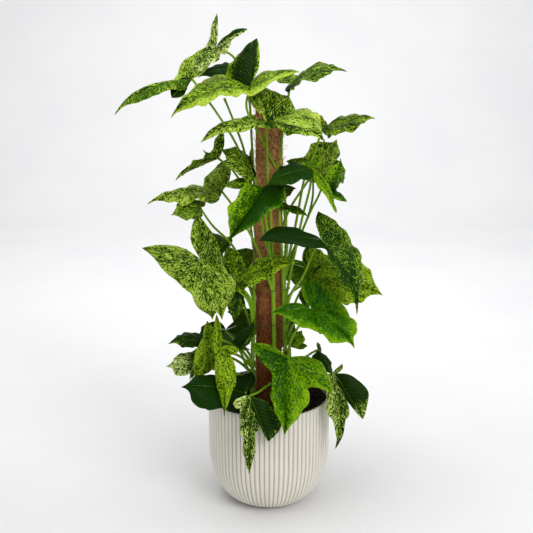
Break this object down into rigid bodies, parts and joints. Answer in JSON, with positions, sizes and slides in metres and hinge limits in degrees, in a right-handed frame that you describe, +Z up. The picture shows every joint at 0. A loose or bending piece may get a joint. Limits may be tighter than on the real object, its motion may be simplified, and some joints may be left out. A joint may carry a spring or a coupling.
{
  "type": "potted arrowhead plant",
  "caption": "Arrowhead plant with mottled three-lobed leaves, climbing a coir pole in a rounded pot with upright ribs.",
  "frame": {"origin": "middle of the pot's flat base, on the surface it stands on", "axes": "+Z up along the pole; -Y towards the side the picture shows"},
  "size_m": [0.443, 0.3228, 0.8622],
  "materials": {
    "pot": "satin",
    "soil": "matte",
    "coir": "matte",
    "pole_wood": "matte",
    "stem": "satin",
    "tie": "matte",
    "leaf_mottled": "satin",
    "leaf_cream": "satin",
    "leaf_dark": "satin",
    "leaf_bright": "satin"
  },
  "bodies": {
    "root": {"pot": "pot", "soil": "soil", "coir_sleeve": "coir", "pole_core": "pole_wood", "stem_front": "stem", "stem_front_right": "stem", "stem_left": "stem", "stem_back_right": "stem", "stem_back_left": "stem", "tie_upper": "tie", "tie_lower": "tie", "leaf_crown": "leaf_cream", "leaf_top_far_left": "leaf_mottled", "leaf_top_back": "leaf_dark", "leaf_top_left": "leaf_mottled", "leaf_top_right": "leaf_dark", "leaf_top_front": "leaf_mottled", "leaf_top_far_right": "leaf_mottled", "leaf_left_curled": "leaf_mottled", "leaf_left_long": "leaf_mottled", "leaf_left_under": "leaf_mottled", "leaf_centre_left": "leaf_mottled", "leaf_centre_front": "leaf_bright", "leaf_right_upper": "leaf_mottled", "leaf_right_edge": "leaf_bright", "leaf_right_arching": "leaf_bright", "leaf_right_slim": "leaf_mottled", "leaf_left_large": "leaf_cream", "leaf_left_pale": "leaf_mottled", "leaf_left_shaded": "leaf_dark", "leaf_middle_front": "leaf_mottled", "leaf_left_hanging": "leaf_dark", "leaf_young_left": "leaf_dark", "leaf_right_bright": "leaf_bright", "leaf_right_inner": "leaf_mottled", "leaf_right_streaked": "leaf_dark", "leaf_right_olive": "leaf_mottled", "leaf_low_left_wide": "leaf_mottled", "leaf_low_left_narrow": "leaf_mottled", "leaf_low_left_small": "leaf_dark", "leaf_low_left_cream": "leaf_cream", "leaf_rim_left": "leaf_dark", "leaf_rim_front": "leaf_cream", "leaf_low_front": "leaf_bright", "leaf_rim_right": "leaf_cream", "leaf_low_right_dark": "leaf_dark", "leaf_low_young": "leaf_bright", "leaf_back_top": "leaf_mottled", "leaf_back_upper": "leaf_dark", "leaf_back_right_upper": "leaf_mottled", "leaf_back_left": "leaf_mottled", "leaf_back_right": "leaf_bright", "leaf_back_low": "leaf_mottled", "leaf_back_left_low": "leaf_dark", "leaf_back_centre": "leaf_mottled"}
  },
  "joints": []
}
